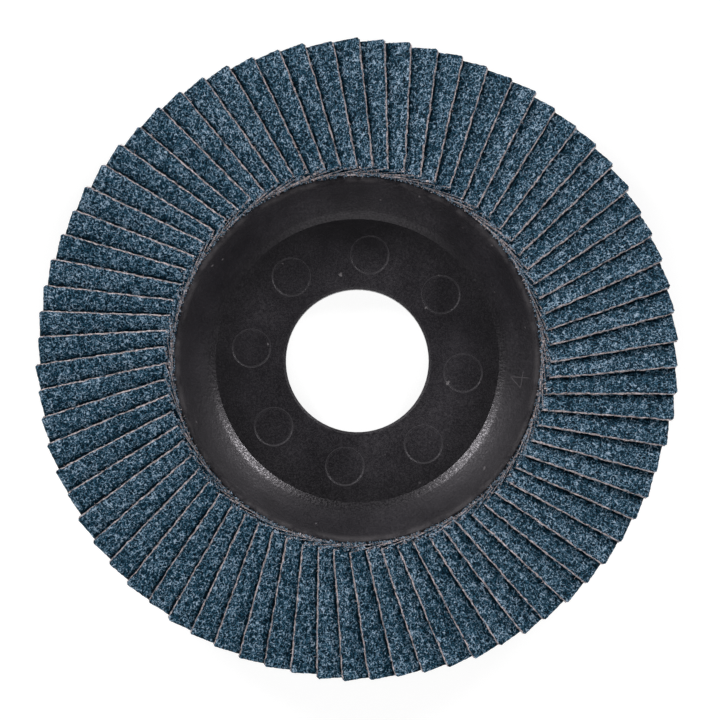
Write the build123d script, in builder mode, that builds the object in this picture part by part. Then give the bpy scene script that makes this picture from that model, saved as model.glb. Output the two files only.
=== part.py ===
"""Flap disc for an angle grinder.

All sizes are millimetres. The disc lies on the back of its hub: +Z is its axis and points out of
the abrasive side, and the origin is the centre of the bore in the hub's back face. Seen from +Z,
the flaps are laid like shingles: each one's clockwise edge is its high, exposed edge and lies on
the neighbour there, and its counterclockwise edge stands in the adhesive.
"""
import math
import os

from build123d import *

# Whole disc
disc_diameter = 100.0

# Hub and nut seat of the backing plate
bore_diameter = 22.23
bore_chamfer = 0.4
hub_thickness = 3.5
nut_seat_diameter = 44.1
ejector_mark_diameter = 6.0
ejector_mark_depth = 0.1
ejector_mark_edge_run = 0.2
ejector_mark_count = 8
ejector_mark_start = -6.7

# Recess that takes the clamping nut
seat_chamfer_width = 1.0
seat_chamfer_height = 0.5
recess_wall_run = 4.8
recess_wall_rise = 5.0
recess_wall_bow = 0.5
recess_wall_arc_share = 0.8
rim_lip_width = 0.6
rim_lip_height = 2.0
wall_foot_edge_radius = 3.0
mouth_edge_radius = 0.6

# Flange that carries the flaps
cone_angle = 7.5
plate_wall = 2.6
flap_overhang = 6.0
hub_edge_radius = 0.3
back_corner_radius = 1.2

# V grooves: under the adhesive to key it, and in the flange's back to trim the plate along
key_groove_depth = 0.5
key_groove_count = 3
trim_groove_depth = 0.35
trim_groove_count = 2
trim_groove_spacing = 3.0

# Flaps
flap_count = 75
flaps_per_group = 3
flap_width = 14.0
flap_thickness = 1.0
flap_corner_radius = 0.6
flap_spacing_gap = 0.04
flap_root_gap = 0.1
first_flap_angle = 1.15

# Adhesive bed
bed_under_flaps = 0.3
flap_seat_depth = 0.6
bed_edge_margin = 1.5

# Plan radii and heights of the backing plate
disc_radius = disc_diameter / 2
bore_radius = bore_diameter / 2
nut_seat_radius = nut_seat_diameter / 2
ejector_mark_circle = (bore_radius + nut_seat_radius) / 2
wall_foot_radius = nut_seat_radius + seat_chamfer_width
wall_foot_height = hub_thickness + seat_chamfer_height
mouth_radius = wall_foot_radius + recess_wall_run
lip_top = wall_foot_height + recess_wall_rise
lip_radius = mouth_radius + rim_lip_width
flange_radius = disc_radius - flap_overhang
lip_edge_radius = rim_lip_width / 2.5
flange_edge_radius = plate_wall / 3
cone_fall = math.tan(math.radians(cone_angle))

# The recess wall bows outwards: its middle stands off the straight line, and one wide arc rounds it
wall_chord = math.hypot(recess_wall_run, recess_wall_rise)
wall_middle_radius = wall_foot_radius + recess_wall_run / 2 + recess_wall_bow * recess_wall_rise / wall_chord
wall_middle_height = wall_foot_height + recess_wall_rise / 2 - recess_wall_bow * recess_wall_run / wall_chord
wall_arc_radius = recess_wall_arc_share * (wall_chord / 2) ** 2 / recess_wall_bow

# Pitch, slope and place of the flaps. The slope is the least at which their roots clear each other.
flap_pitch = 360 / flap_count
pitch_sine = math.sin(math.radians(flap_pitch))
cone_sine = math.sin(math.radians(cone_angle))
flap_root_radius = lip_radius + flap_root_gap
cone_crowding = flap_width / 2 * cone_sine * pitch_sine
root_stack = flap_thickness + flap_spacing_gap + cone_crowding
flap_slope = math.degrees(math.asin(root_stack / (flap_root_radius * pitch_sine)))
slope_sine = math.sin(math.radians(flap_slope))
slope_cosine = math.cos(math.radians(flap_slope))
half_rise = flap_width / 2 * slope_sine + flap_thickness / 2 * slope_cosine
half_reach = flap_width / 2 * slope_cosine + flap_thickness / 2 * slope_sine
corner_advance = flap_width / 2 * slope_sine * cone_sine


def flange_front(radius):
    """Height of the flange's front face, which the adhesive bed lies on."""
    return lip_top - rim_lip_height - (radius - lip_radius) * cone_fall


def flange_back(radius):
    """Height of the flange's back face."""
    return flange_front(radius) - plate_wall / math.cos(math.radians(cone_angle))


flap_root_height = flange_front(flap_root_radius) + bed_under_flaps + half_rise
corner_distance = math.sqrt(disc_radius**2 - half_reach**2)
flap_plan_length = corner_distance - corner_advance - flap_root_radius
flap_length = flap_plan_length / math.cos(math.radians(cone_angle))


def back_wall_line():
    """Foot radius and slope of the wall's straight back face, parallel to the recess wall's chord."""
    shift_out = plate_wall * recess_wall_rise / wall_chord
    shift_down = plate_wall * recess_wall_run / wall_chord
    slope = recess_wall_rise / recess_wall_run
    foot = wall_foot_radius + shift_out - (wall_foot_height - shift_down) / slope
    return foot, slope


def key_groove_radii():
    """Radii of the grooves that key the adhesive to the flange."""
    span = flange_radius - bed_edge_margin - lip_radius
    step = span / (key_groove_count + 1)
    return [lip_radius + step * (number + 1) for number in range(key_groove_count)]


def trim_groove_radii():
    """Radii of the grooves in the flange's back, along which the plate can be trimmed."""
    return [flange_radius - trim_groove_spacing * (number + 1) for number in range(trim_groove_count)]


def v_groove(radius, height, depth):
    """Square on its corner, whose lower half is a V groove in the face through its middle."""
    with Locations((radius, height)):
        RegularPolygon(depth, 4)


def make_backing_plate():
    """The moulded dish: bored hub, nut seat, conical recess wall, rim lip and flange."""
    back_foot, back_slope = back_wall_line()
    # Where the wall's back face meets the flange's back face
    back_top = (back_slope * back_foot + flange_back(0)) / (back_slope + cone_fall)
    corners = [
        ((bore_radius + bore_chamfer, 0), 0),
        ((bore_radius, bore_chamfer), 0),
        ((bore_radius, hub_thickness - bore_chamfer), 0),
        ((bore_radius + bore_chamfer, hub_thickness), 0),
        ((nut_seat_radius, hub_thickness), 0),
        ((wall_foot_radius, wall_foot_height), wall_foot_edge_radius),
        ((wall_middle_radius, wall_middle_height), wall_arc_radius),
        ((mouth_radius, lip_top), mouth_edge_radius),
        ((lip_radius, lip_top), lip_edge_radius),
        ((lip_radius, flange_front(lip_radius)), 0),
        ((flange_radius, flange_front(flange_radius)), 0),
        ((flange_radius, flange_back(flange_radius)), flange_edge_radius),
        ((back_top, flange_back(back_top)), back_corner_radius),
        ((back_foot, 0), hub_edge_radius),
    ]
    with BuildPart() as plate:
        with BuildSketch(Plane.XZ):
            with BuildLine():
                FilletPolyline(
                    *[point for point, radius in corners],
                    radius=[radius for point, radius in corners],
                    close=True,
                )
            make_face()
        revolve(axis=Axis.Z)
        # Shallow ejector marks in the nut seat, with sloped edges
        mark_radius = ejector_mark_diameter / 2
        with Locations((0, 0, hub_thickness)):
            with PolarLocations(ejector_mark_circle, ejector_mark_count, start_angle=ejector_mark_start):
                Cone(
                    mark_radius - ejector_mark_edge_run,
                    mark_radius,
                    ejector_mark_depth,
                    align=(Align.CENTER, Align.CENTER, Align.MAX),
                    mode=Mode.SUBTRACT,
                )
        # Grooves under the adhesive and in the flange's back
        with BuildSketch(Plane.XZ):
            for radius in key_groove_radii():
                v_groove(radius, flange_front(radius), key_groove_depth)
            for radius in trim_groove_radii():
                v_groove(radius, flange_back(radius), trim_groove_depth)
        revolve(axis=Axis.Z, mode=Mode.SUBTRACT)
    plate.part.label = "backing_plate"
    return plate


def flap_plane(index):
    """Middle plane of one flap: origin at its root, x along its centreline, z out of its grain."""
    turn = first_flap_angle + index * flap_pitch
    outward = Vector(1, 0, 0).rotate(Axis.Y, cone_angle).rotate(Axis.Z, turn)
    upward = Vector(0, 0, 1).rotate(Axis.Y, cone_angle).rotate(Axis.Z, turn)
    sideways = upward.cross(outward)
    root = Vector(flap_root_radius, 0, flap_root_height).rotate(Axis.Z, turn)
    return Plane(origin=root, x_dir=outward, z_dir=upward * slope_cosine + sideways * slope_sine)


def make_flaps(indices):
    """Flat coated-cloth flaps, one solid for each index, with rounded outer corners."""
    with BuildPart() as flaps:
        for index in indices:
            with BuildSketch(flap_plane(index)) as blank:
                Rectangle(flap_length, flap_width, align=(Align.MIN, Align.CENTER))
                outer_corners = blank.vertices().sort_by(Axis.X)[-2:]
                fillet(outer_corners, flap_corner_radius)
            extrude(amount=flap_thickness / 2, both=True)
    return flaps


def make_adhesive_bed():
    """The glue ring: it fills the key grooves and has one seat for each flap's low edge."""
    bed_depth = bed_under_flaps + flap_seat_depth
    bed_radius = flange_radius - bed_edge_margin
    seats = make_flaps(range(flap_count))
    with BuildPart() as bed:
        with BuildSketch(Plane.XZ):
            with BuildLine():
                Polyline(
                    (lip_radius, flange_front(lip_radius)),
                    (bed_radius, flange_front(bed_radius)),
                    (bed_radius, flange_front(bed_radius) + bed_depth),
                    (lip_radius, flange_front(lip_radius) + bed_depth),
                    close=True,
                )
            make_face()
            for radius in key_groove_radii():
                v_groove(radius, flange_front(radius), key_groove_depth)
        revolve(axis=Axis.Z)
        add(seats.part, mode=Mode.SUBTRACT)
    bed.part.label = "adhesive_bed"
    return bed


os.makedirs("parts", exist_ok=True)

backing_plate = make_backing_plate()
export_step(backing_plate.part, "parts/backing_plate.step")

adhesive_bed = make_adhesive_bed()
export_step(adhesive_bed.part, "parts/adhesive_bed.step")

for group_start in range(0, flap_count, flaps_per_group):
    flap_group = make_flaps(range(group_start, min(group_start + flaps_per_group, flap_count)))
    flap_group.part.label = f"flaps_{group_start // flaps_per_group + 1:02d}"
    export_step(flap_group.part, f"parts/{flap_group.part.label}.step")
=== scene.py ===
"""Flap disc for an angle grinder: its looks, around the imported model. Metres, unless a name says mm."""
import math
import random

import bmesh
import bpy
import numpy as np
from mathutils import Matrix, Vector
from mathutils.bvhtree import BVHTree


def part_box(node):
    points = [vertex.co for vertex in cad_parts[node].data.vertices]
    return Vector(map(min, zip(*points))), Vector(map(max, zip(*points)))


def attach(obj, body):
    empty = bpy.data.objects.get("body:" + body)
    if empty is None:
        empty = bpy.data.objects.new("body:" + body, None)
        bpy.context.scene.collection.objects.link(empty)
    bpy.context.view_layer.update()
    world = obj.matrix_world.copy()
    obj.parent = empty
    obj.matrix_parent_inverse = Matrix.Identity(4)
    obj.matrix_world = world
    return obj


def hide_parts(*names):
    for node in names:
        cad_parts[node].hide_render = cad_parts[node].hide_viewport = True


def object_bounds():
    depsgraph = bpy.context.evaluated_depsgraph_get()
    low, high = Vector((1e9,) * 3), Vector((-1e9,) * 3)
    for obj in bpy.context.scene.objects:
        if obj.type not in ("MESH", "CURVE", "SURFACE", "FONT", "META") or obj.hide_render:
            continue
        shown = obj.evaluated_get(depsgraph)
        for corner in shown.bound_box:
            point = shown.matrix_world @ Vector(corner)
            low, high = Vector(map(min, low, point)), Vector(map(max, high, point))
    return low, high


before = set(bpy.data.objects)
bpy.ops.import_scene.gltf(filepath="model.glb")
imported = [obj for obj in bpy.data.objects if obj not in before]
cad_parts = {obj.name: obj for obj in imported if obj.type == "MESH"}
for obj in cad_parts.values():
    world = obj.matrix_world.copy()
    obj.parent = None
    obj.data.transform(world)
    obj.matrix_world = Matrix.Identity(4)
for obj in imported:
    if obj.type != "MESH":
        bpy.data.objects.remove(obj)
cad_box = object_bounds()

MM = 0.001
SEED = 4127

# Photograph: 720 pixels wide, taken from above, a little from the disc's -Y side
VIEW_DISTANCE = 1.2
VIEW_ELEVATION = 88.0
VIEW_WIDTH = 0.1123
SENSOR_WIDTH_MM = 36.0
AIM = (0.00042, 0.00022, 0.0)

# Lamps: name, azimuth and elevation in degrees, size, power, and whether reflections show it
LAMP_DISTANCE = 0.9
LAMPS = (
    ("softbox_left", 141, 32, 0.20, 3.1, True),
    ("softbox_right", 43, 32, 0.20, 3.0, True),
    ("softbox_front", 270, 38, 0.80, 1.1, True),
    ("fill_front", 270, 36, 0.70, 3.1, False),
    ("fill_top", 250, 78, 0.50, 1.1, False),
    ("fill_back", 90, 40, 0.60, 0.8, False),
)
SKY_STRENGTH = 0.085
BACKGROUND_STRENGTH = 1.0

# Floor: half its side, its distance under the disc, its colour, and the glow that makes it look white
FLOOR_REACH = 3.0
FLOOR_GAP = 0.0001
FLOOR_COLOUR = (0.28, 0.28, 0.28)
FLOOR_GLOW = 0.84

# Flap grid: columns along the flap, rows over its exposed strip and down its cut edges
COLUMNS = 120
COARSE_COLUMNS = 16
STRIP_ROWS = 34
EDGE_ROWS = 5
BACK_COLUMNS = 4
STRIP_MARGIN_MM = 0.3
SHARP_DEGREES = 62

# Abrasive grain and cut cloth. Inset, jitter and size are shares of the spacing, the covered grain's
# drop is a share of the height, and a reach is the distance over which something fades.
GRAIN_SPACING_MM = 0.40
GRAIN_INSET = 0.15
GRAIN_JITTER = 0.7
GRAIN_SIZE = 0.62
GRAIN_HEIGHT_MM = 0.20
COVERED_DROP = 0.6
GRAIN_SWELL_MM = 0.03
CLOTH_SHARE = 0.55
EDGE_WEAR_MM = 0.16
EDGE_WEAR_REACH_MM = 0.15
FRAY_MM = 0.12
WAVE_MM = 0.16
WAVE_REACH_MM = 0.3
END_RAGGED_MM = 0.07
ROOT_RAGGED_MM = 0.16
ROOT_FINE_RAGGED_MM = 0.10
ROOT_FORWARD_MM = 0.08
# Painted shade: how far it reaches from the covering flap's edge, its strength at the roots and its reach
# there
CREVICE_REACH_MM = 0.115
ROOT_SHADE = 0.08
ROOT_SHADE_REACH_MM = 0.25

# Small differences between flaps, from how each one was cut and laid
TWIST_DEGREES = 7.0
SLIDE_MM = 0.40
DRIFT_FLAPS = 6.0
DRIFT_SHARE = 0.45
YAW_DEGREES = 0.40
END_TRIM_MM = 0.14
ROOT_TRIM_MM = 0.18
END_SKEW_DEGREES = 1.4
CORNER_MM = 0.32

# Loose fibres at the cuts
EDGE_FIBRES = 9
ROOT_FIBRES = 26
OUTER_FIBRES = 3
EDGE_FIBRE_LENGTH_MM = (0.15, 0.55)
ROOT_FIBRE_LENGTH_MM = (0.30, 0.85)
OUTER_FIBRE_LENGTH_MM = (0.35, 0.60)
FIBRE_MM = 0.085
FIBRE_TAPER = 0.6
FIBRE_CURL = 0.5
FIBRE_SIDES = 3
FIBRE_RINGS = 4

# Crumbs of grain at the roots and on the plate's lip
ROOT_CRUMBS = 44
LIP_CRUMBS = 750
ROOT_CRUMB_MM = (0.09, 0.21)
LIP_CRUMB_MM = (0.09, 0.19)
CRUMB_UNEVENNESS = 0.35
CRUMB_REACH = 1 + CRUMB_UNEVENNESS
TOP_CRUMB_SHARE = 0.55
TAN_ROOT_CRUMB_SHARE = 0.12
TAN_LIP_CRUMB_SHARE = 0.10
ROOT_WIDTH_SHARE = 0.85
ROOT_CROWDING = 1.3

# Shading values of a loose bit: its height over the cloth's top says cloth or grain, and painted shade under
# 0 makes it paler
AS_CLOTH_MM = -0.3
AS_GRAIN_MM = 0.3
FLAP_BIT_VALUES = {"relief": 1.0, "painted_shade": -1.2}
LIP_BIT_VALUES = {"relief": 0.8, "painted_shade": -1.0, "tone": 0.5}

# Lip of the plate, that the flaps' roots stand against
LIP_RADIUS_MM = 28.45

# Marks on the plate: ejector pins in the nut seat, and the mould's cavity digit on the recess wall.
# The pairs for the line and the slope say how far off their middle a mask starts and where it is full.
MARK_COUNT = 8
MARK_CIRCLE_MM = 16.58
MARK_RADIUS_MM = 3.0
MARK_LINE_MM = (0.09, 0.03)
MARK_SLOPE_MIDDLE_MM = 2.9
MARK_SLOPE_MM = (0.20, 0.13)
MARK_START_DEGREES = -6.7
DIGIT_RADIUS_MM = 25.4
DIGIT_ANGLE_DEGREES = -6.5
DIGIT_STROKES_MM = (
    ((-1.45, 0.18), (1.40, 0.18)),
    ((0.42, 1.25), (0.25, -1.45)),
    ((-1.45, 0.18), (0.25, -1.45)),
)
STROKE_WIDTH_MM = 0.20
STROKE_HEIGHT_MM = 0.09
STROKE_RINGS = 13
STROKE_SECTION = ((-1.0, -0.5), (-0.85, 0.35), (-0.4, 0.9), (0.4, 0.9), (0.85, 0.35), (1.0, -0.5))
RAY_START = 0.05

# Finish of the plate by distance from the axis: painted shade towards the corner, then the scuffed wall and
# the dull lip.
# Each pair says where a change starts and where it is complete, and the rim's, for its painted highlight, is
# its depth under the top.
CORNER_SHADE_FROM_MM = (16.5, 21.5)
CORNER_SHADE_TO_MM = (22.2, 24.5)
WALL_FROM_MM = (22.9, 23.6)
LIP_FROM_MM = (27.0, 27.6)
RIM_DEPTH_MM = (0.9, 0.1)

# Depth of the fine relief in each material
CLOTH_BUMP_MM = 0.12
PLASTIC_BUMP_MM = 0.04
RESIN_BUMP_MM = 0.10

# Colours, linear, and for a ramp the level of each
# The grain's pale upper levels are the colours of its painted glints
GRAIN_RAMP = (
    (0.0, (0.0003, 0.0040, 0.0085)),
    (0.20, (0.0008, 0.0210, 0.0405)),
    (0.45, (0.0225, 0.0900, 0.1480)),
    (0.70, (0.1290, 0.2300, 0.3250)),
    (1.0, (0.4100, 0.5250, 0.6600)),
)
CUT_CLOTH_RAMP = (
    (0.32, (0.12, 0.105, 0.11)),
    (0.45, (0.50, 0.43, 0.440)),
    (0.60, (0.94, 0.84, 0.865)),
)
BACK_CLOTH_RAMP = ((0.2, (0.17, 0.12, 0.10)), (0.9, (0.50, 0.40, 0.36)))
PLASTIC_RAMP = ((0.32, (0.0045, 0.0040, 0.0056)), (0.70, (0.0150, 0.0136, 0.0172)))
RESIN_RAMP = ((0.3, (0.018, 0.016, 0.015)), (0.7, (0.07, 0.058, 0.050)))
DUST = (0.20, 0.185, 0.20)
SPECK = (0.28, 0.26, 0.27)
# Painted highlights on the witness lines and on the rim's top, painted shade in the plate's corner, and the
# digit's painted highlight
WITNESS_LINE_HIGHLIGHT = (0.16, 0.15, 0.165)
RIM_HIGHLIGHT = (0.20, 0.185, 0.19)
CORNER_SHADE = (0.0035, 0.0033, 0.0040)
HIGHLIT_PLASTIC = (0.14, 0.13, 0.14)
PLASTIC_SHEEN = (0.99, 0.94, 1.0)
WHITE = (1.0, 1.0, 1.0)


def link(obj):
    """Put an object into the scene."""
    bpy.context.scene.collection.objects.link(obj)
    return obj


def add_piece(name, mesh, material):
    """Put a mesh into the scene, as an object of one material."""
    piece = link(bpy.data.objects.new(name, mesh))
    piece.data.materials.append(material)
    return piece


def store_values(mesh, cloth, values):
    """Keep with a mesh each point's place in the cloth and its shading values."""
    layer = mesh.attributes.new("cloth", "FLOAT_VECTOR", "POINT")
    layer.data.foreach_set("vector", cloth.astype(np.float32).ravel())
    for name, numbers in values.items():
        layer = mesh.attributes.new(name, "FLOAT", "POINT")
        layer.data.foreach_set("value", numbers.astype(np.float32))


def hashed(first, second, salt):
    """Repeatable random numbers from 0 to 1, one for each pair of whole numbers."""
    # An integer hash: large odd factors and shifts, kept to 32 bits
    value = first.astype(np.int64) * 374761393 + second.astype(np.int64) * 668265263 + salt * 2147483647
    value = (value ^ (value >> 13)) & 0xFFFFFFFF
    value = (value * 1274126177) & 0xFFFFFFFF
    value = value ^ (value >> 16)
    return (value & 0xFFFFFF) / float(0x1000000)


def smooth_noise(x, y, size, salt):
    """Smooth random field from 0 to 1, with features about the given size."""
    column = np.floor(x / size)
    row = np.floor(y / size)
    across = x / size - column
    along = y / size - row
    across = across * across * (3 - 2 * across)
    along = along * along * (3 - 2 * along)
    low = hashed(column, row, salt) * (1 - across) + hashed(column + 1, row, salt) * across
    high = hashed(column, row + 1, salt) * (1 - across) + hashed(column + 1, row + 1, salt) * across
    return low * (1 - along) + high * along


def grain_relief(x, y, salt):
    """Height from 0 to 1 of angular grains set closely in resin: one in each cell of a grid."""
    column = np.floor(x / GRAIN_SPACING_MM)
    row = np.floor(y / GRAIN_SPACING_MM)
    relief = np.zeros_like(x)
    for step_x in (-1, 0, 1):
        for step_y in (-1, 0, 1):
            cell_x = column + step_x
            cell_y = row + step_y
            place_x = GRAIN_INSET + GRAIN_JITTER * hashed(cell_x, cell_y, salt)
            place_y = GRAIN_INSET + GRAIN_JITTER * hashed(cell_x, cell_y, salt + 1)
            turn = hashed(cell_x, cell_y, salt + 2) * math.pi
            # A grain is up to 1.8 times as long as wide, and pointed by its slanted sides
            longer = 0.55 + 0.45 * hashed(cell_x, cell_y, salt + 3)
            peak = 0.45 + 0.55 * hashed(cell_x, cell_y, salt + 4)
            off_x = x - (cell_x + place_x) * GRAIN_SPACING_MM
            off_y = y - (cell_y + place_y) * GRAIN_SPACING_MM
            along = np.abs(off_x * np.cos(turn) + off_y * np.sin(turn)) * longer
            across = np.abs(off_y * np.cos(turn) - off_x * np.sin(turn))
            slanted = along + across * 0.8
            distance = np.maximum(np.maximum(along, across), slanted * 0.75)
            relief = np.maximum(relief, peak * (1 - distance / (GRAIN_SIZE * GRAIN_SPACING_MM)))
    return relief


class Flap:
    """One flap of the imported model: its middle plane and its size, in millimetres."""

    def __init__(self, triangles):
        corners = triangles / MM
        edges = corners[:, 1:] - corners[:, :1]
        areas = np.linalg.norm(np.cross(edges[:, 0], edges[:, 1]), axis=1) / 2
        middle = (corners.mean(axis=1) * areas[:, None]).sum(axis=0) / areas.sum()
        # Second moment of the faces, whose main axes are the flap's length, width and thickness
        arms = np.concatenate([corners, corners.sum(axis=1, keepdims=True) - 2 * middle], axis=1) - middle
        moment = np.einsum("t,tki,tkj->ij", areas / 12, arms, arms)
        normal, _, outward = np.linalg.eigh(moment)[1].T
        if outward[0] * middle[0] + outward[1] * middle[1] < 0:
            outward = -outward
        if normal[2] < 0:
            normal = -normal
        sideways = np.cross(normal, outward)
        self.axes = np.array([outward, sideways, normal])
        local = (corners.reshape(-1, 3) - middle) @ self.axes.T
        low = local.min(axis=0)
        high = local.max(axis=0)
        self.length, self.width, self.thickness = high - low
        centre = (low + high) / 2
        start = np.array([low[0], centre[1], centre[2]])
        self.root = middle + start @ self.axes
        self.angle = math.atan2(self.root[1], self.root[0])

    def to_world(self, local):
        """World points, in millimetres, of points in the flap's own frame."""
        return self.root + local @ self.axes

    def to_local(self, world):
        """Points in the flap's own frame of world points in millimetres."""
        return (world - self.root) @ self.axes.T


def islands(node):
    """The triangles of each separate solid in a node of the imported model."""
    mesh = bmesh.new()
    mesh.from_mesh(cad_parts[node].data)
    bmesh.ops.remove_doubles(mesh, verts=mesh.verts, dist=0.001 * MM)
    bmesh.ops.triangulate(mesh, faces=mesh.faces)
    # A dict keeps its order, and a set would give last digits that differ from run to run
    waiting = dict.fromkeys(mesh.faces)
    found = []
    while waiting:
        edge_of_search = [waiting.popitem()[0]]
        island = []
        while edge_of_search:
            face = edge_of_search.pop()
            island.append([vertex.co[:] for vertex in face.verts])
            for other in (other for line in face.edges for other in line.link_faces):
                if other in waiting:
                    del waiting[other]
                    edge_of_search.append(other)
        found.append(np.array(island))
    mesh.free()
    return found


def twisted(points, length, sense=1.0):
    """Points of a flap, turned about its middle line by more and more towards its free end."""
    turn = sense * math.radians(TWIST_DEGREES) * np.clip(points[..., 0] / length, 0, 1)
    turned = points.copy()
    turned[..., 1] = points[..., 1] * np.cos(turn) - points[..., 2] * np.sin(turn)
    turned[..., 2] = points[..., 2] * np.cos(turn) + points[..., 1] * np.sin(turn)
    return turned


def strip_widths(flap, cover):
    """Exposed width at a flap's root and at its outer end, up to the edge of the flap that covers it."""
    edge_y = -cover.width / 2
    edge = np.array([[0.0, edge_y, 0.0], [cover.length, edge_y, 0.0]])
    seen = flap.to_local(cover.to_world(twisted(edge, cover.length)))
    return twisted(seen, flap.length, -1.0)[:, 1] + flap.width / 2


def zipper(first, second, first_place, second_place):
    """Triangles between two lines of points that run the same way."""
    faces = []
    i = 0
    j = 0
    while i < len(first) - 1 or j < len(second) - 1:
        first_can_step = i < len(first) - 1
        if j == len(second) - 1 or (first_can_step and first_place[i + 1] <= second_place[j + 1]):
            faces.append((first[i], second[j], first[i + 1]))
            i += 1
        else:
            faces.append((first[i], second[j], second[j + 1]))
            j += 1
    return faces


def quads(lines):
    """Faces between neighbouring lines of points, all of one length."""
    faces = []
    for near, far in zip(lines, lines[1:]):
        for index in range(len(near) - 1):
            faces.append((near[index], far[index], far[index + 1], near[index + 1]))
    return faces


class FlapGrid:
    """How the points of every flap are numbered and joined: a closed skin, fine where it shows.

    Places along the flap (u) and across it (v) run from 0 to 1, and the depth (d) from 0 at the
    grain's top to 1 at the back of the cloth.
    """

    def __init__(self):
        self.count = 0
        fine = np.linspace(0, 1, COLUMNS + 1)
        coarse = np.linspace(0, 1, COARSE_COLUMNS + 1)
        self.parts = {}
        top = self.block("top", (COLUMNS + 1, STRIP_ROWS + 1))
        side = self.block("side", (COLUMNS + 1, EDGE_ROWS))
        cover = self.block("cover", (COARSE_COLUMNS + 1, 2))
        far = self.block("far", (COARSE_COLUMNS + 1, EDGE_ROWS))
        back = self.block("back", (COARSE_COLUMNS + 1, BACK_COLUMNS - 1))
        ends = [self.block(name, (STRIP_ROWS + 1, EDGE_ROWS - 1)) for name in ("root_end", "outer_end")]

        faces = quads([top[:, row] for row in range(STRIP_ROWS, -1, -1)])
        side_lines = [top[:, 0]] + [side[:, row] for row in range(EDGE_ROWS)]
        faces += quads(side_lines)
        faces += zipper(cover[:, 0], top[:, STRIP_ROWS], coarse, fine)
        faces += quads([cover[:, 1], cover[:, 0]])
        far_lines = [cover[:, 1]] + [far[:, row] for row in range(EDGE_ROWS)]
        faces += quads(far_lines[::-1])
        back_lines = [far[:, -1]] + [back[:, column] for column in range(BACK_COLUMNS - 2, -1, -1)]
        faces += quads(back_lines[::-1])
        faces += zipper(side[:, -1], back[:, 0], fine, coarse)

        for end, outer in zip(ends, (False, True)):
            column = -1 if outer else 0
            rows = [np.concatenate([top[column], cover[column]])]
            for row in range(EDGE_ROWS - 1):
                inner = [side[column, row], *end[:, row], far[column, row]]
                rows.append(np.array(inner))
            places = np.linspace(0, 1, len(rows[0]))
            last = np.array([side[column, -1], *back[column], far[column, -1]])
            last_places = np.linspace(0, 1, len(last))
            end_faces = quads(rows) + zipper(rows[-1], last, places, last_places)
            if outer:
                end_faces = [face[::-1] for face in end_faces]
            faces += end_faces
        self.faces = [tuple(int(point) for point in face) for face in faces]

    def block(self, name, shape):
        """Number the points of one patch."""
        size = shape[0] * shape[1]
        numbers = np.arange(self.count, self.count + size).reshape(shape)
        self.parts[name] = numbers
        self.count += size
        return numbers


def placement(index):
    """How one flap lies in its seat: its turn about its root, and how far it has slid down."""
    draw = random.Random(SEED * 7 + index)
    yaw = math.radians(YAW_DEGREES) * draw.uniform(-1, 1)
    # Neighbours have slid alike
    drift = smooth_noise(np.array([index * 1.0]), np.array([0.0]), DRIFT_FLAPS, SEED)[0]
    return yaw, SLIDE_MM * (DRIFT_SHARE * drift + (1 - DRIFT_SHARE) * draw.random())


def placed_points(local, length, yaw, slide):
    """A flap's own points, twisted, turned and slid as the flap lies on its neighbour."""
    local = twisted(local, length)
    placed = local.copy()
    placed[..., 0] = local[..., 0] * math.cos(yaw) - local[..., 1] * math.sin(yaw)
    placed[..., 1] = local[..., 1] * math.cos(yaw) + local[..., 0] * math.sin(yaw) + slide
    return placed


def fibre(start, direction, length, draw):
    """A thin curled tube: its points and faces, in the flap's own frame."""
    direction = direction / np.linalg.norm(direction)
    bend = np.array([draw.uniform(-1, 1) for _ in range(3)])
    last = FIBRE_RINGS - 1
    points = []
    place = np.array(start, dtype=float)
    for ring in range(FIBRE_RINGS):
        # A fixed slanting direction sets how the section is turned
        across = np.cross(direction, [0.31, 0.2, 0.93])
        across /= np.linalg.norm(across)
        upward = np.cross(direction, across)
        radius = FIBRE_MM / 2 * (1.0 - FIBRE_TAPER * ring / last)
        for side in range(FIBRE_SIDES):
            turn = 2 * math.pi * side / FIBRE_SIDES
            points.append(place + radius * (math.cos(turn) * across + math.sin(turn) * upward))
        direction = direction + FIBRE_CURL * bend
        direction /= np.linalg.norm(direction)
        place = place + direction * length / last
    faces = [(0, 2, 1), tuple(last * FIBRE_SIDES + side for side in range(FIBRE_SIDES))]
    for ring in range(last):
        for side in range(FIBRE_SIDES):
            near = ring * FIBRE_SIDES
            far = near + FIBRE_SIDES
            other = (side + 1) % FIBRE_SIDES
            faces.append((near + side, near + other, far + other, far + side))
    return np.array(points), faces


def crumb(centre, size, draw):
    """A broken bit of grain: an uneven octahedron."""
    corners = np.array([[1, 0, 0], [-1, 0, 0], [0, 1, 0], [0, -1, 0], [0, 0, 1], [0, 0, -1]], dtype=float)
    uneven = CRUMB_UNEVENNESS
    corners += np.array([[draw.uniform(-uneven, uneven) for _ in range(3)] for _ in range(6)])
    faces = [(0, 2, 4), (2, 1, 4), (1, 3, 4), (3, 0, 4), (2, 0, 5), (1, 2, 5), (3, 1, 5), (0, 3, 5)]
    return centre + corners * size, faces


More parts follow.
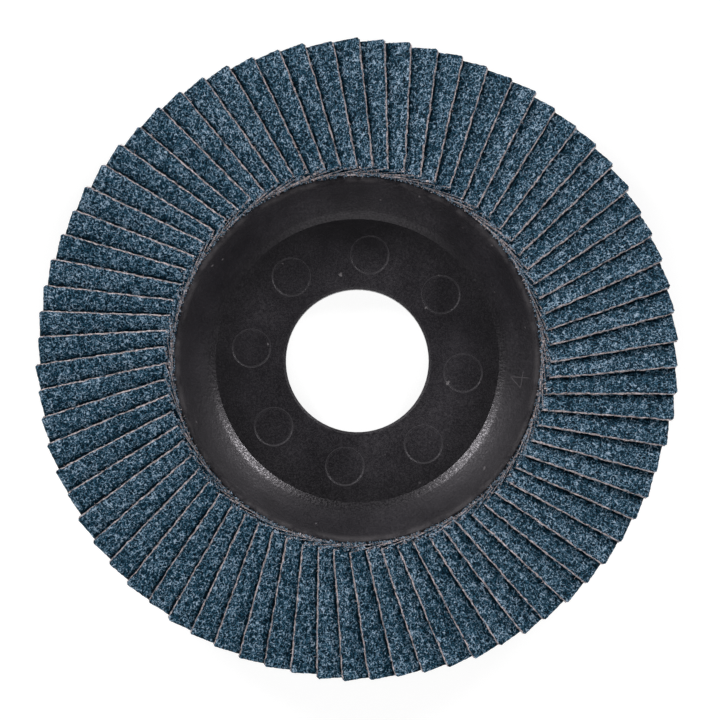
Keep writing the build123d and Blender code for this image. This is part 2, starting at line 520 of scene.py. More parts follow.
def loose_bits(flap, widths, index):
    """Fibres at the cuts and crumbs at the root: points, faces, and height over the cloth's top."""
    draw = random.Random(SEED * 13 + index)
    half_width = flap.width / 2
    half = flap.thickness / 2
    cloth_top = -half + CLOTH_SHARE * flap.thickness
    root_width = ROOT_WIDTH_SHARE * flap.width
    bits = []
    for _ in range(EDGE_FIBRES):
        along = draw.uniform(0.3, flap.length - 0.5)
        start = (along, -half_width + 0.12, draw.uniform(-half, cloth_top) * 0.9)
        direction = np.array([draw.uniform(-1.6, 1.6), -1.0, draw.uniform(-0.2, 0.4)])
        made = fibre(start, direction, draw.uniform(*EDGE_FIBRE_LENGTH_MM), draw)
        bits.append((*made, AS_CLOTH_MM))
    for _ in range(ROOT_FIBRES):
        across = -half_width + root_width * draw.random() ** ROOT_CROWDING
        start = (0.25, across, draw.uniform(-0.6, 0.2) * half)
        direction = np.array([-1.0, draw.uniform(-1.4, 1.4), draw.uniform(-0.6, 0.2)])
        made = fibre(start, direction, draw.uniform(*ROOT_FIBRE_LENGTH_MM), draw)
        bits.append((*made, draw.choice((AS_CLOTH_MM, AS_GRAIN_MM, AS_GRAIN_MM))))
    for _ in range(OUTER_FIBRES):
        start = (flap.length - 0.7, -half_width + draw.uniform(0.1, 1.0) * widths[1], -0.2 * half)
        direction = np.array([1.0, draw.uniform(-1.0, 1.0), draw.uniform(-0.3, 0.3)])
        made = fibre(start, direction, draw.uniform(*OUTER_FIBRE_LENGTH_MM), draw)
        bits.append((*made, AS_CLOTH_MM))
    for _ in range(ROOT_CRUMBS):
        size = draw.uniform(*ROOT_CRUMB_MM)
        # A crumb is sunk by its own reach, so that it stays under the flap's top
        if draw.random() < TOP_CRUMB_SHARE:
            along = 0.1 + 1.1 * draw.random() ** 2
            across = -half_width + draw.uniform(0.0, 1.0) * (widths[0] + 0.4)
            sunk = CRUMB_REACH * size + 0.1 * draw.random()
        else:
            along = draw.uniform(-0.06, 0.10)
            across = -half_width + root_width * draw.random() ** ROOT_CROWDING
            sunk = CRUMB_REACH * size + draw.uniform(0.0, 0.7)
        made = crumb(np.array([along, across, half - sunk]), size, draw)
        bits.append((*made, AS_CLOTH_MM if draw.random() < TAN_ROOT_CRUMB_SHARE else AS_GRAIN_MM))
    return bits


def flap_points(grid, flap, widths, index, count):
    """Local points of one flap, in millimetres, with its grain, cut edges and own small errors."""
    draw = random.Random(SEED + index)
    salt = 97 * index + 11
    half_width = flap.width / 2
    half = flap.thickness / 2
    cloth_top = -half + CLOTH_SHARE * flap.thickness
    root_trim = ROOT_TRIM_MM * draw.random() ** 1.5
    end_trim = END_TRIM_MM * draw.random()
    skew = math.tan(math.radians(END_SKEW_DEGREES * draw.uniform(-1, 1)))
    corner = CORNER_MM * draw.uniform(0.5, 1.3)
    root_skew = math.tan(math.radians(END_SKEW_DEGREES * draw.uniform(-1, 1)))
    yaw, slide = placement(index)
    cover_yaw, cover_slide = placement((index + 1) % count)

    def end_place(y):
        """Where the outer end lies, for a place across the flap."""
        from_side = np.clip(corner - (half_width - np.abs(y)), 0, corner)
        rounding = corner - np.sqrt(np.maximum(corner**2 - from_side**2, 0))
        slant = skew * y - abs(skew) * half_width
        ragged = END_RAGGED_MM * (smooth_noise(y, y * 0, 0.35, salt + 5) - 1)
        return flap.length - end_trim + slant - rounding + ragged

    def root_place(y):
        """Where the root end lies, for a place across the flap."""
        slant = root_skew * y + abs(root_skew) * half_width
        ragged = ROOT_RAGGED_MM * smooth_noise(y, y * 0, 0.6, salt + 6)
        ragged = ragged + ROOT_FINE_RAGGED_MM * smooth_noise(y, y * 0, 0.22, salt + 12)
        return root_trim + 0.5 * slant + ragged - ROOT_FORWARD_MM

    def along(u, y):
        """Place along the flap of a share of its length."""
        start = root_place(y)
        return start + u * (end_place(y) - start)

    def cut_wave(x):
        """The blade's own waver along the long cut."""
        slow = smooth_noise(x, x * 0, 1.5, salt + 13) - 0.5
        quick = smooth_noise(x, x * 0, 0.6, salt + 14) - 0.5
        return WAVE_MM * (slow + 0.7 * quick)

    def top_drop(x, y, from_edge):
        """How far the grain's surface lies under the highest peaks."""
        relief = grain_relief(x, y, salt)
        swell = smooth_noise(x, y, 1.7, salt + 7)
        from_edge = np.minimum(from_edge, np.minimum(x - root_place(y), end_place(y) - x))
        chipped = smooth_noise(x, y, 0.5, salt + 8) ** 2
        fade = np.exp(-np.maximum(from_edge, 0) / EDGE_WEAR_REACH_MM)
        edge = EDGE_WEAR_MM * (0.25 + 1.6 * chipped) * fade
        return GRAIN_HEIGHT_MM * (1 - relief) + GRAIN_SWELL_MM * swell + edge, relief

    def fray(x, depth):
        """How far the cut edge stands back, for a place along it and a depth."""
        coarse = smooth_noise(x, depth * 3.0, 0.45, salt + 9)
        fine = smooth_noise(x, depth * 5.0, 0.17, salt + 10)
        return FRAY_MM * (1.1 * coarse + 0.9 * fine)

    local = np.zeros((grid.count, 3))
    relief = np.zeros(grid.count)
    painted_shade = np.zeros(grid.count)
    fine_u = np.linspace(0, 1, COLUMNS + 1)
    coarse_u = np.linspace(0, 1, COARSE_COLUMNS + 1)

    def exposed(u):
        """Width that shows, up to the covering flap's edge as both flaps lie."""
        plain = widths[0] + (widths[1] - widths[0]) * u
        return plain + cover_slide - slide + (cover_yaw - yaw) * u * flap.length

    # Exposed strip of the top, up to a little way under the flap that covers it
    u, v = np.meshgrid(fine_u, np.linspace(0, 1, STRIP_ROWS + 1), indexing="ij")
    strip = exposed(u) + STRIP_MARGIN_MM
    from_cut = v * strip
    y = -half_width + from_cut
    x = along(u, y)
    edge_shift = cut_wave(x) + FRAY_MM * smooth_noise(x, x * 0, 0.3, salt + 15)
    edge_shift = edge_shift * np.exp(-from_cut / WAVE_REACH_MM)
    drop, peaks = top_drop(x, y, from_cut)
    numbers = grid.parts["top"]
    local[numbers] = np.stack([x, y + edge_shift, half - drop], axis=-1)
    relief[numbers] = peaks
    # Painted shade in the crevice at the covering flap's edge, and a little near the root
    near_cover = np.exp(-np.maximum(exposed(u) - from_cut, 0) / CREVICE_REACH_MM)
    near_root = ROOT_SHADE * np.exp(-np.maximum(x - root_place(y), 0) / ROOT_SHADE_REACH_MM)
    painted_shade[numbers] = np.maximum(near_cover, 0.5 * near_root)

    # Cut edge that shows, from the grain's edge down to the back of the cloth
    depth = np.linspace(0, 1, EDGE_ROWS + 1)[1:]
    u, d = np.meshgrid(fine_u, depth, indexing="ij")
    y = np.full_like(u, -half_width)
    x = along(u, y)
    top_z = (half - drop[:, :1]) * np.ones_like(d)
    z = top_z + (-half - top_z) * d
    y = y + fray(x, d) + cut_wave(x) * (1 - 0.4 * d)
    numbers = grid.parts["side"]
    local[numbers] = np.stack([x, y, z], axis=-1)

    # Covered part of the top
    cover_y = np.array([0.35, 1.0])
    u, v = np.meshgrid(coarse_u, cover_y, indexing="ij")
    strip = exposed(u) + STRIP_MARGIN_MM
    y = -half_width + strip + v * (flap.width - strip)
    x = along(u, y)
    cover_z = half - COVERED_DROP * GRAIN_HEIGHT_MM
    local[grid.parts["cover"]] = np.stack([x, y, np.full_like(x, cover_z)], axis=-1)

    # Cut edge in the adhesive
    u, d = np.meshgrid(coarse_u, depth, indexing="ij")
    y = np.full_like(u, half_width)
    x = along(u, y)
    local[grid.parts["far"]] = np.stack([x, y, cover_z + (-half - cover_z) * d], axis=-1)

    # Back of the cloth
    v = np.linspace(0, 1, BACK_COLUMNS + 1)[1:-1]
    u, v = np.meshgrid(coarse_u, v, indexing="ij")
    y = -half_width + v * flap.width
    x = along(u, y)
    local[grid.parts["back"]] = np.stack([x, y, np.full_like(x, -half)], axis=-1)

    # Cut ends
    for name, column, sign in (("root_end", 0, 1.0), ("outer_end", -1, -1.0)):
        upper = np.concatenate([local[grid.parts["top"][column, 1:]], local[grid.parts["cover"][column, :1]]])
        d = depth[:-1]
        y = upper[:, 1:2] * np.ones_like(d)
        z = upper[:, 2:3] + (-half - upper[:, 2:3]) * d
        x = upper[:, 0:1] + sign * fray(y + 31.0 * sign, d + 0 * y)
        local[grid.parts[name]] = np.stack([x, y, z], axis=-1)
    # Painted shade on the root end
    painted_shade[grid.parts["root_end"]] = ROOT_SHADE

    # A flap that is turned reaches further out at one corner, so it is held back by as much
    held_back = max(0.0, abs(half_width * math.sin(yaw)) - end_trim)
    placed = placed_points(local, flap.length, yaw, slide)
    placed[:, 0] -= held_back
    return {"local": local, "placed": placed, "relief": relief, "painted_shade": painted_shade, "shade": draw.random()}


def make_flap_piece(name, flaps, grid, material, count):
    """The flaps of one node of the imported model, as one piece."""
    points = []
    faces = []
    cloth = []
    values = {"relief": [], "painted_shade": [], "tone": []}
    total = 0

    def join(flap, index, placed, local, own_faces, layers):
        """Add one closed skin, with its place in the cloth and its shading values."""
        nonlocal total
        points.append(flap.to_world(placed) * MM)
        # Each flap shows its own part of the pattern
        cloth.append(local + np.array([23.0 * index, 7.0 * index, 0.0]))
        for key, layer in layers.items():
            values[key].append(np.broadcast_to(layer, len(placed)))
        faces.extend(tuple(point + total for point in face) for face in own_faces)
        total += len(placed)

    for index, flap, widths in flaps:
        made = flap_points(grid, flap, widths, index, count)
        cloth_top = (CLOTH_SHARE - 0.5) * flap.thickness
        local = made["local"] - np.array([0.0, 0.0, cloth_top])
        layers = {"relief": made["relief"], "painted_shade": made["painted_shade"], "tone": made["shade"]}
        join(flap, index, made["placed"], local, grid.faces, layers)
        for bit, bit_faces, height in loose_bits(flap, widths, index):
            local = bit.copy()
            local[:, 2] = height
            placed = placed_points(bit, flap.length, *placement(index))
            join(flap, index, placed, local, bit_faces, {**FLAP_BIT_VALUES, "tone": made["shade"]})

    mesh = bpy.data.meshes.new(name)
    mesh.from_pydata(np.concatenate(points).tolist(), [], faces)
    store_values(mesh, np.concatenate(cloth), {key: np.concatenate(parts) for key, parts in values.items()})
    mesh.polygons.foreach_set("use_smooth", [True] * len(mesh.polygons))
    mesh.set_sharp_from_angle(angle=math.radians(SHARP_DEGREES))
    mesh.update()
    return add_piece(name, mesh, material)


class Nodes:
    """Short names for building a material's nodes."""

    def __init__(self, name):
        self.material = bpy.data.materials.new(name)
        self.material.use_nodes = True
        self.tree = self.material.node_tree
        self.shader = self.tree.nodes["Principled BSDF"]
        self.output = self.tree.nodes["Material Output"]

    def add(self, kind, inputs=None, **settings):
        """A node with settings, and with inputs that are values or other nodes' outputs."""
        node = self.tree.nodes.new(kind)
        for key, value in settings.items():
            setattr(node, key, value)
        for key, value in (inputs or {}).items():
            self.put(node.inputs[key], value)
        return node

    def put(self, socket, value):
        """Set a socket, or link it."""
        if isinstance(value, bpy.types.NodeSocket):
            self.tree.links.new(value, socket)
        else:
            socket.default_value = value

    def attribute(self, name, output="Vector"):
        """A value stored with the mesh."""
        return self.add("ShaderNodeAttribute", attribute_name=name).outputs[output]

    def math(self, operation, *values, clamp=False):
        """One sum of numbers."""
        node = self.add("ShaderNodeMath", operation=operation, use_clamp=clamp)
        for socket, value in zip(node.inputs, values):
            self.put(socket, value)
        return node.outputs[0]

    def vector_math(self, operation, first, second):
        """One sum of vectors."""
        node = self.add("ShaderNodeVectorMath", operation=operation)
        self.put(node.inputs[0], first)
        self.put(node.inputs[1], second)
        return node.outputs[0]

    def scaled(self, vector, scale):
        """A vector, stretched by a fixed amount along each axis."""
        return self.vector_math("MULTIPLY", vector, scale)

    def shifted(self, vector, step):
        """A vector, moved by a fixed step."""
        return self.vector_math("ADD", vector, step)

    def plus(self, total, *terms):
        """A value, plus others that are each times a weight."""
        for value, weight in terms:
            total = self.math("MULTIPLY_ADD", value, weight, total)
        return total

    def varied(self, value, mask, gain, base=1.0):
        """A value, times a base that a mask raises or lowers."""
        return self.math("MULTIPLY", value, self.plus(base, (mask, gain)))

    def hypotenuse(self, first, second):
        """Length of a vector of two parts."""
        return self.math("SQRT", self.plus(self.math("POWER", second, 2.0), (first, first)))

    def off(self, value, middle):
        """How far a value is off a middle, on either side."""
        return self.math("ABSOLUTE", self.math("SUBTRACT", value, middle))

    def wave(self, vector, scale, distortion, direction):
        """Smooth stripes across one axis."""
        inputs = {"Vector": vector, "Scale": scale, "Distortion": distortion}
        return self.add("ShaderNodeTexWave", inputs, bands_direction=direction).outputs["Fac"]

    def noise(self, vector, scale, detail=2.0, roughness=0.5, distortion=0.0):
        """Smooth noise, from about 0.2 to 0.8."""
        inputs = {"Vector": vector, "Scale": scale, "Detail": detail}
        inputs.update({"Roughness": roughness, "Distortion": distortion})
        return self.add("ShaderNodeTexNoise", inputs).outputs["Fac"]

    def steps(self, value, low, high, from_value=0.0, to_value=1.0):
        """A smooth step between two levels of a value."""
        inputs = {"Value": value, "From Min": low, "From Max": high, "To Min": from_value, "To Max": to_value}
        return self.add("ShaderNodeMapRange", inputs, interpolation_type="SMOOTHSTEP").outputs["Result"]

    def mix(self, factor, first, second, blend="MIX"):
        """A mix of two colours."""
        node = self.add("ShaderNodeMix", data_type="RGBA", blend_type=blend)
        self.put(node.inputs[0], factor)
        self.put(node.inputs[6], first)
        self.put(node.inputs[7], second)
        return node.outputs[2]

    def ramp(self, value, *stops):
        """A colour for each level of a value."""
        node = self.add("ShaderNodeValToRGB", {"Fac": value})
        marks = node.color_ramp.elements
        while len(marks) < len(stops):
            marks.new(0.5)
        for mark, (place, colour) in zip(marks, stops):
            mark.position = place
            mark.color = (*colour, 1.0)
        return node.outputs["Color"]

    def tinted(self, colour, mask, share, tint):
        """A colour, with a share of a fixed one where a mask is."""
        return self.mix(self.math("MULTIPLY", mask, share), colour, (*tint, 1.0))

    def finish(self, colour, roughness, height, bump_mm, strength=1.0):
        """Link the colour and the roughness to the shader, and tilt its normal by a height."""
        inputs = {"Height": height, "Distance": bump_mm * MM, "Strength": strength}
        self.put(self.shader.inputs["Base Color"], colour)
        self.put(self.shader.inputs["Roughness"], roughness)
        self.put(self.shader.inputs["Normal"], self.add("ShaderNodeBump", inputs).outputs["Normal"])


def coated_cloth():
    """Deep teal grain with painted glints round and along its grains, on a tan cloth that shows at the cuts
    and behind.
    """
    nodes = Nodes("coated_cloth")
    place = nodes.attribute("cloth")
    relief = nodes.attribute("relief", "Fac")
    painted_shade = nodes.attribute("painted_shade", "Fac")
    tone = nodes.attribute("tone", "Fac")
    depth = nodes.add("ShaderNodeSeparateXYZ", {"Vector": place}).outputs["Z"]

    # Pale worm-like strokes of painted glints, wide and thin, along the middle level of a noise
    wide = nodes.noise(place, 1.30, 1.0, 0.45, 0.9)
    wide = nodes.steps(nodes.off(wide, 0.5), 0.056, 0.026)
    thin = nodes.noise(nodes.shifted(place, (5.3, 1.7, 0.4)), 2.6, 0.0, 0.5, 0.4)
    thin = nodes.steps(nodes.off(thin, 0.5), 0.075, 0.015)
    # A net of painted glints round the grains, broken by gaps, and specks
    cells = nodes.add("ShaderNodeTexVoronoi", {"Vector": place, "Scale": 1.60}, feature="DISTANCE_TO_EDGE")
    net = nodes.steps(cells.outputs["Distance"], 0.14, 0.05)
    gaps = nodes.steps(nodes.noise(nodes.shifted(place, (2.2, 8.1, 3.3)), 1.5, 1.0), 0.45, 0.55)
    net = nodes.math("MULTIPLY", net, gaps)
    specks = nodes.steps(nodes.noise(place, 4.0, 1.0), 0.50, 0.60)
    # Grain tops paler and hollows darker: partly worn resin, partly a painted highlight on the tops and
    # painted shade in the hollows
    raised = nodes.steps(relief, 0.10, 0.80)
    level = nodes.plus(0.0, (specks, 0.31), (wide, 0.50), (thin, 0.15), (net, 0.42), (raised, 0.16))
    # Broad patches, a tone for each flap, and painted shade in spots in the crevices and at the roots
    level = nodes.varied(level, nodes.noise(place, 0.25, 2.0), 0.20, 0.87)
    level = nodes.varied(level, tone, 0.12, 0.94)
    shade_spots = nodes.math("MULTIPLY", painted_shade, nodes.steps(nodes.noise(place, 1.1, 1.0), 0.43, 0.55))
    level = nodes.varied(level, shade_spots, -0.85)
    grain = nodes.ramp(level, *GRAIN_RAMP)

    # Cut cloth: pinkish tan threads seen end on, with dark gaps and stains between them
    ends = nodes.noise(nodes.scaled(place, (1.0, 1.0, 1.8)), 2.6, 2.0, 0.6)
    edge_cloth = nodes.ramp(ends, *CUT_CLOTH_RAMP)
    stains = nodes.noise(nodes.shifted(place, (9.0, 4.0, 0.0)), 1.3, 2.0)
    stains = nodes.steps(nodes.plus(stains, (painted_shade, 0.30)), 0.52, 0.64)
    edge_cloth = nodes.mix(nodes.math("MULTIPLY", stains, 0.62), edge_cloth, grain)

    # Back of the cloth: a plain weave
    warp, weft = (nodes.wave(place, 0.62, 0.6, direction) for direction in "XY")
    weave = nodes.math("MAXIMUM", warp, weft)
    back_cloth = nodes.ramp(weave, *BACK_CLOTH_RAMP)

    # An uneven border between cloth and grain, that never reaches the grain's top
    border = nodes.plus(-0.80, (nodes.noise(place, 1.1, 2.0), 1.6))
    border = nodes.math("MINIMUM", border, 0.10)
    is_grain = nodes.steps(nodes.math("SUBTRACT", depth, border), -0.03, 0.03)
    is_back = nodes.steps(depth, 0.05 - CLOTH_SHARE, 0.02 - CLOTH_SHARE)
    colour = nodes.mix(is_grain, edge_cloth, grain)
    colour = nodes.mix(is_back, colour, back_cloth)
    roughness = nodes.plus(0.9, (is_grain, -0.35))

    # Fine relief: facets and strokes on the grain and the cuts, and the weave behind
    fine = nodes.plus(nodes.noise(place, 4.2, 2.0, 0.6), (wide, 0.5), (thin, 0.3))
    fine = nodes.varied(fine, is_back, -0.8)
    fine = nodes.plus(fine, (nodes.math("MULTIPLY", weave, is_back), 0.8))
    nodes.finish(colour, roughness, fine, CLOTH_BUMP_MM)
    nodes.shader.inputs["Specular IOR Level"].default_value = 0.13
    return nodes.material


def ejector_rings(nodes, place):
    """Masks of the witness lines round the ejector marks, which get a painted highlight, and of the marks'
    slopes, and the radius.
    """
    axes = nodes.add("ShaderNodeSeparateXYZ", {"Vector": place}).outputs
    turn = nodes.math("ARCTAN2", axes["Y"], axes["X"])
    sector = 2 * math.pi / MARK_COUNT
    start = math.radians(MARK_START_DEGREES) - sector / 2
    # All the marks are folded onto one
    folded = nodes.math("FLOORED_MODULO", nodes.math("SUBTRACT", turn, start), sector)
    folded = nodes.math("SUBTRACT", folded, sector / 2)
    out = nodes.hypotenuse(axes["X"], axes["Y"])
    along = nodes.math("MULTIPLY", out, nodes.math("COSINE", folded))
    along = nodes.math("SUBTRACT", along, MARK_CIRCLE_MM * MM)
    across = nodes.math("MULTIPLY", out, nodes.math("SINE", folded))
    from_centre = nodes.hypotenuse(along, across)
    masks = []
    for radius, (faint, full) in ((MARK_RADIUS_MM, MARK_LINE_MM), (MARK_SLOPE_MIDDLE_MM, MARK_SLOPE_MM)):
        masks.append(nodes.steps(nodes.off(from_centre, radius * MM), faint * MM, full * MM))
    return *masks, out


def moulded_plastic(name, highlight):
    """Black glass-filled nylon: satin and mottled, with dust, fine scratches and a scuffed rim, and with
    painted highlights and painted shade.
    """
    nodes = Nodes(name)
    place = nodes.add("ShaderNodeTexCoord").outputs["Object"]
    broad = nodes.noise(place, 110.0, 4.0, 0.6)
    fine = nodes.noise(place, 2400.0, 3.0, 0.65)
    rings, slopes, out = ejector_rings(nodes, place)

    def further_out(limits):
        """Mask of what lies further from the axis than the first limit, in full from the second."""
        return nodes.steps(out, limits[0] * MM, limits[1] * MM)

    # Dust in patches and single specks, a painted highlight on the rim's top and on the witness lines, and
    # painted shade in the corner
    dust = nodes.steps(nodes.noise(place, 55.0, 4.0, 0.6), 0.42, 0.74)
    dust = nodes.math("MULTIPLY", dust, nodes.steps(fine, 0.40, 0.66))
    specks = nodes.noise(nodes.shifted(place, (0.3, 0.1, 0.2)), 700.0, 1.0)
    specks = nodes.steps(specks, 0.765, 0.80)
    height = nodes.add("ShaderNodeSeparateXYZ", {"Vector": place}).outputs["Z"]
    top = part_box("backing_plate")[1][2]
    # Painted highlight on the rim's top, in patches
    rim = nodes.steps(height, top - RIM_DEPTH_MM[0] * MM, top - RIM_DEPTH_MM[1] * MM)
    rim = nodes.math("MULTIPLY", rim, nodes.steps(nodes.noise(place, 420.0, 3.0, 0.6), 0.36, 0.62))
    # Painted shade on the floor towards the corner of the nut seat
    corner_shade = nodes.math("MULTIPLY", further_out(CORNER_SHADE_FROM_MM), further_out(CORNER_SHADE_TO_MM[::-1]))
    colour = nodes.ramp(broad, *PLASTIC_RAMP)
    colour = nodes.tinted(colour, dust, 0.12, DUST)
    colour = nodes.tinted(colour, specks, 0.45, SPECK)
    # Painted highlight on the witness lines
    colour = nodes.tinted(colour, rings, 0.12, WITNESS_LINE_HIGHLIGHT)
    colour = nodes.tinted(colour, rim, 0.22, RIM_HIGHLIGHT)
    colour = nodes.tinted(colour, corner_shade, 0.55, CORNER_SHADE)
    # A share of a pale colour, a painted highlight, for the raised digit
    colour = nodes.mix(highlight, colour, (*HIGHLIT_PLASTIC, 1.0))

    # Duller in scuffs, on the lip, on the wall that spanners and fingers rub, and on the marks' slopes
    scuffs = nodes.noise(nodes.shifted(place, (0.2, 0.5, 0.1)), 4200.0, 1.0, 0.5)
    scuffs = nodes.steps(scuffs, 0.38, 0.64)
    lip = further_out(LIP_FROM_MM)
    wall = further_out(WALL_FROM_MM)
    roughness = nodes.plus(0.24, (broad, 0.10), (scuffs, 0.22), (lip, 0.30), (wall, 0.13), (slopes, 0.25))

    scratches = nodes.noise(nodes.scaled(place, (90.0, 1500.0, 90.0)), 1.0, 2.0, 0.5)
    scratches = nodes.steps(scratches, 0.66, 0.74)
    pits = nodes.noise(place, 2600.0, 2.0, 0.5)
    ripple = nodes.noise(place, 260.0, 2.0, 0.5)
    relief = nodes.plus(pits, (fine, 1.1), (ripple, 1.6), (scratches, 0.25))
    nodes.finish(colour, roughness, relief, PLASTIC_BUMP_MM, 0.8)
    nodes.shader.inputs["Specular IOR Level"].default_value = 0.95
    nodes.shader.inputs["Specular Tint"].default_value = (*PLASTIC_SHEEN, 1.0)
    return nodes.material


def resin():
    """Cured adhesive: dark amber, glossy, with small bubbles."""
    nodes = Nodes("adhesive_resin")
    place = nodes.add("ShaderNodeTexCoord").outputs["Object"]
    cloud = nodes.noise(place, 240.0, 3.0)
    bubbles = nodes.noise(place, 1500.0, 2.0)
    colour = nodes.ramp(cloud, *RESIN_RAMP)
    nodes.finish(colour, nodes.plus(0.25, (cloud, 0.3)), bubbles, RESIN_BUMP_MM, 0.7)
    return nodes.material


def pale_surface(name, colour, glow):
    """Pale stage surface: it looks white to the camera and in reflections, and keeps the shadow."""
    nodes = Nodes(name)
    nodes.tree.nodes.remove(nodes.shader)
    path = nodes.add("ShaderNodeLightPath").outputs
    seen = nodes.math("MAXIMUM", path["Is Camera Ray"], path["Is Glossy Ray"])
    seen = nodes.math("MAXIMUM", seen, path["Is Transmission Ray"])
    lit = nodes.add("ShaderNodeBsdfDiffuse", {"Color": (*colour, 1.0)}).outputs[0]
    strength = nodes.math("MULTIPLY", seen, glow)
    glowing = nodes.add("ShaderNodeEmission", {"Color": (*WHITE, 1.0), "Strength": strength}).outputs[0]
    both = nodes.add("ShaderNodeAddShader")
    nodes.put(both.inputs[0], lit)
    nodes.put(both.inputs[1], glowing)
    nodes.put(nodes.output.inputs["Surface"], both.outputs[0])
    return nodes.material


def make_lip_grains(material):
    """Loose grains and lint between the plate's lip and the flaps' roots: one closed skin each."""
    draw = random.Random(SEED * 3)
    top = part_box("backing_plate")[1][2] / MM
    points = []
    cloth = []
    faces = []
    for number in range(LIP_CRUMBS):
        size = draw.uniform(*LIP_CRUMB_MM)
        turn = draw.uniform(0, 2 * math.pi)
        radius = LIP_RADIUS_MM + draw.uniform(-0.12, 0.35)
        place = np.array([radius * math.cos(turn), radius * math.sin(turn), top + 0.6 * size])
        grain, grain_faces = crumb(place, size, draw)
        total = len(points) * len(grain)
        points.append(grain)
        # Each grain shows its own part of the pattern
        local = grain + np.array([3.0 * number, 0.0, 0.0])
        local[:, 2] = AS_CLOTH_MM if draw.random() < TAN_LIP_CRUMB_SHARE else AS_GRAIN_MM
        cloth.append(local)
        faces.extend(tuple(point + total for point in face) for face in grain_faces)
    mesh = bpy.data.meshes.new("lip_grains")
    mesh.from_pydata((np.concatenate(points) * MM).tolist(), [], faces)
    values = {key: np.full(len(mesh.vertices), value) for key, value in LIP_BIT_VALUES.items()}
    store_values(mesh, np.concatenate(cloth), values)
    mesh.update()
    piece = add_piece("lip_grains", mesh, material)
    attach(piece, "root")


def make_floor():
    """The plain pale floor that the disc lies on."""
    mesh = bpy.data.meshes.new("floor")
    height = cad_box[0][2] - FLOOR_GAP
    signs = ((-1, -1), (1, -1), (1, 1), (-1, 1))
    mesh.from_pydata([(x * FLOOR_REACH, y * FLOOR_REACH, height) for x, y in signs], [], [(0, 1, 2, 3)])
    floor = add_piece("floor", mesh, pale_surface("floor_paint", FLOOR_COLOUR, FLOOR_GLOW))


def add_lamp(name, azimuth, elevation, size, power, gloss):
    """A square lamp that looks at the disc from a direction in degrees."""
    turn = math.radians(azimuth)
    rise = math.radians(elevation)
    towards = Vector((math.cos(turn) * math.cos(rise), math.sin(turn) * math.cos(rise), math.sin(rise)))
    data = bpy.data.lights.new(name, "AREA")
    data.shape = "SQUARE"
    data.size = size
    data.energy = power
    lamp = link(bpy.data.objects.new(name, data))
    lamp.location = towards * LAMP_DISTANCE
    lamp.rotation_euler = (-towards).to_track_quat("-Z", "Y").to_euler()
    lamp.visible_glossy = gloss


def add_lights():
    """The lamps, and an even low sky that the camera sees as white."""
    for lamp in LAMPS:
        add_lamp(*lamp)
    world = bpy.data.worlds.new("sky")
    world.use_nodes = True
    bpy.context.scene.world = world
    tree = world.node_tree
    background = tree.nodes["Background"]
    path = tree.nodes.new("ShaderNodeLightPath")
    strength = tree.nodes.new("ShaderNodeMapRange")
    strength.inputs["To Min"].default_value = SKY_STRENGTH
    strength.inputs["To Max"].default_value = BACKGROUND_STRENGTH
    tree.links.new(path.outputs["Is Camera Ray"], strength.inputs["Value"])
    tree.links.new(strength.outputs["Result"], background.inputs["Strength"])
    background.inputs["Color"].default_value = (*WHITE, 1.0)


def add_camera():
    """The camera at the photograph's viewing angle."""
    data = bpy.data.cameras.new("camera")
    data.sensor_width = SENSOR_WIDTH_MM
    data.lens = SENSOR_WIDTH_MM * VIEW_DISTANCE / VIEW_WIDTH
    camera = link(bpy.data.objects.new("camera", data))
    rise = math.radians(VIEW_ELEVATION)
    towards = Vector((0, -math.cos(rise), math.sin(rise)))
    camera.location = Vector(AIM) + towards * VIEW_DISTANCE
    camera.rotation_euler = (-towards).to_track_quat("-Z", "Y").to_euler()
    bpy.context.scene.camera = camera


def dress_flaps(material):
    """Replace each group of plain flaps by the detailed one."""
    names = sorted(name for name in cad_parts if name.startswith("flaps_"))
    found = [(Flap(solid), name) for name in names for solid in islands(name)]
    found.sort(key=lambda item: item[0].angle)
    count = len(found)
    grid = FlapGrid()
    groups = {name: [] for name in names}
    for index, (flap, name) in enumerate(found):
        cover = found[(index + 1) % count][0]
        groups[name].append((index, flap, strip_widths(flap, cover)))
    for name, flaps in groups.items():
        piece = make_flap_piece(name.replace("flaps", "cloth_flaps"), flaps, grid, material, count)
        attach(piece, "root")
        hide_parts(name)


def dress_node(name, material):
    """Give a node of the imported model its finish."""
    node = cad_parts[name]
    node.data.materials.clear()
    node.data.materials.append(material)


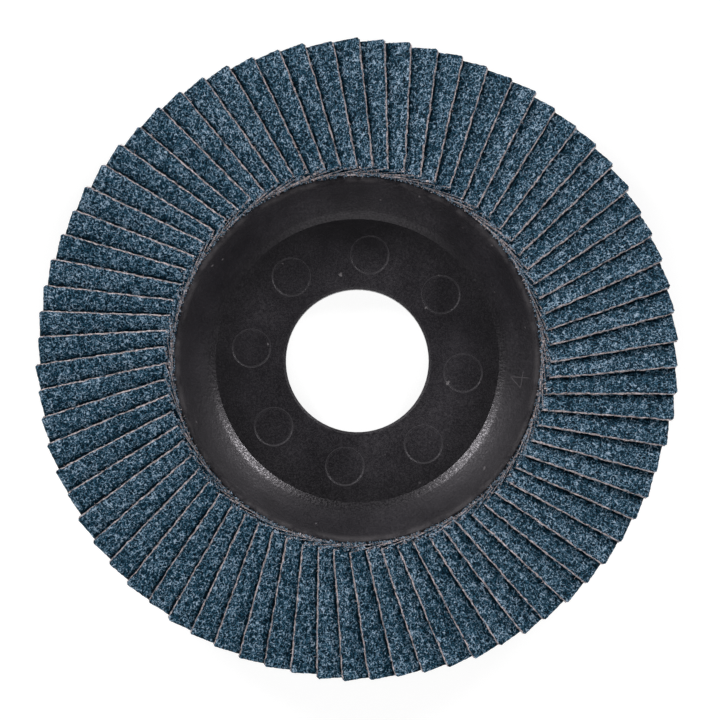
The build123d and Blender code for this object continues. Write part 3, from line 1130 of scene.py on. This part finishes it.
def make_digit(material):
    """The mould's cavity digit, a plain 4 in thin raised strokes on the recess wall."""
    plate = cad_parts["backing_plate"].data
    corners = [vertex.co for vertex in plate.vertices]
    tree = BVHTree.FromPolygons(corners, [face.vertices for face in plate.polygons])
    turn = math.radians(DIGIT_ANGLE_DEGREES)
    outward = Vector((math.cos(turn), math.sin(turn), 0))
    sideways = Vector((-math.sin(turn), math.cos(turn), 0))
    centre = outward * DIGIT_RADIUS_MM * MM
    above = Vector((0, 0, RAY_START))
    down = Vector((0, 0, -1))
    sides = len(STROKE_SECTION)
    last = STROKE_RINGS - 1
    points = []
    faces = []
    for stroke in DIGIT_STROKES_MM:
        first = len(points)
        start, end = [centre + (outward * along + sideways * across) * MM for along, across in stroke]
        run = end - start
        for ring in range(STROKE_RINGS):
            share = ring / last
            place, normal, _, _ = tree.ray_cast(start + run * share + above, down)
            across = run.cross(normal).normalized()
            # The strokes have round ends
            taper = math.sqrt(max(0.05, 1 - (2 * share - 1) ** 12))
            half_width = STROKE_WIDTH_MM / 2 * taper
            height = STROKE_HEIGHT_MM * taper
            for side, rise in STROKE_SECTION:
                points.append(place + (across * side * half_width + normal * rise * height) * MM)
        faces.append(tuple(first + side for side in range(sides)))
        faces.append(tuple(first + last * sides + side for side in reversed(range(sides))))
        for ring in range(last):
            near = first + ring * sides
            far = near + sides
            for side in range(sides):
                other = (side + 1) % sides
                faces.append((near + side, far + side, far + other, near + other))
    mesh = bpy.data.meshes.new("cavity_digit")
    mesh.from_pydata([tuple(point) for point in points], [], faces)
    mesh.update()
    piece = add_piece("cavity_digit", mesh, material)
    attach(piece, "root")


add_camera()
dress_node("backing_plate", moulded_plastic("plate_plastic", 0.0))
# The digit's plastic is a paler copy: a painted highlight on its raised strokes
make_digit(moulded_plastic("highlit_plastic", 0.6))
dress_node("adhesive_bed", resin())
cloth_finish = coated_cloth()
dress_flaps(cloth_finish)
make_lip_grains(cloth_finish)
make_floor()
add_lights()
bpy.context.scene.view_settings.view_transform = "Standard"
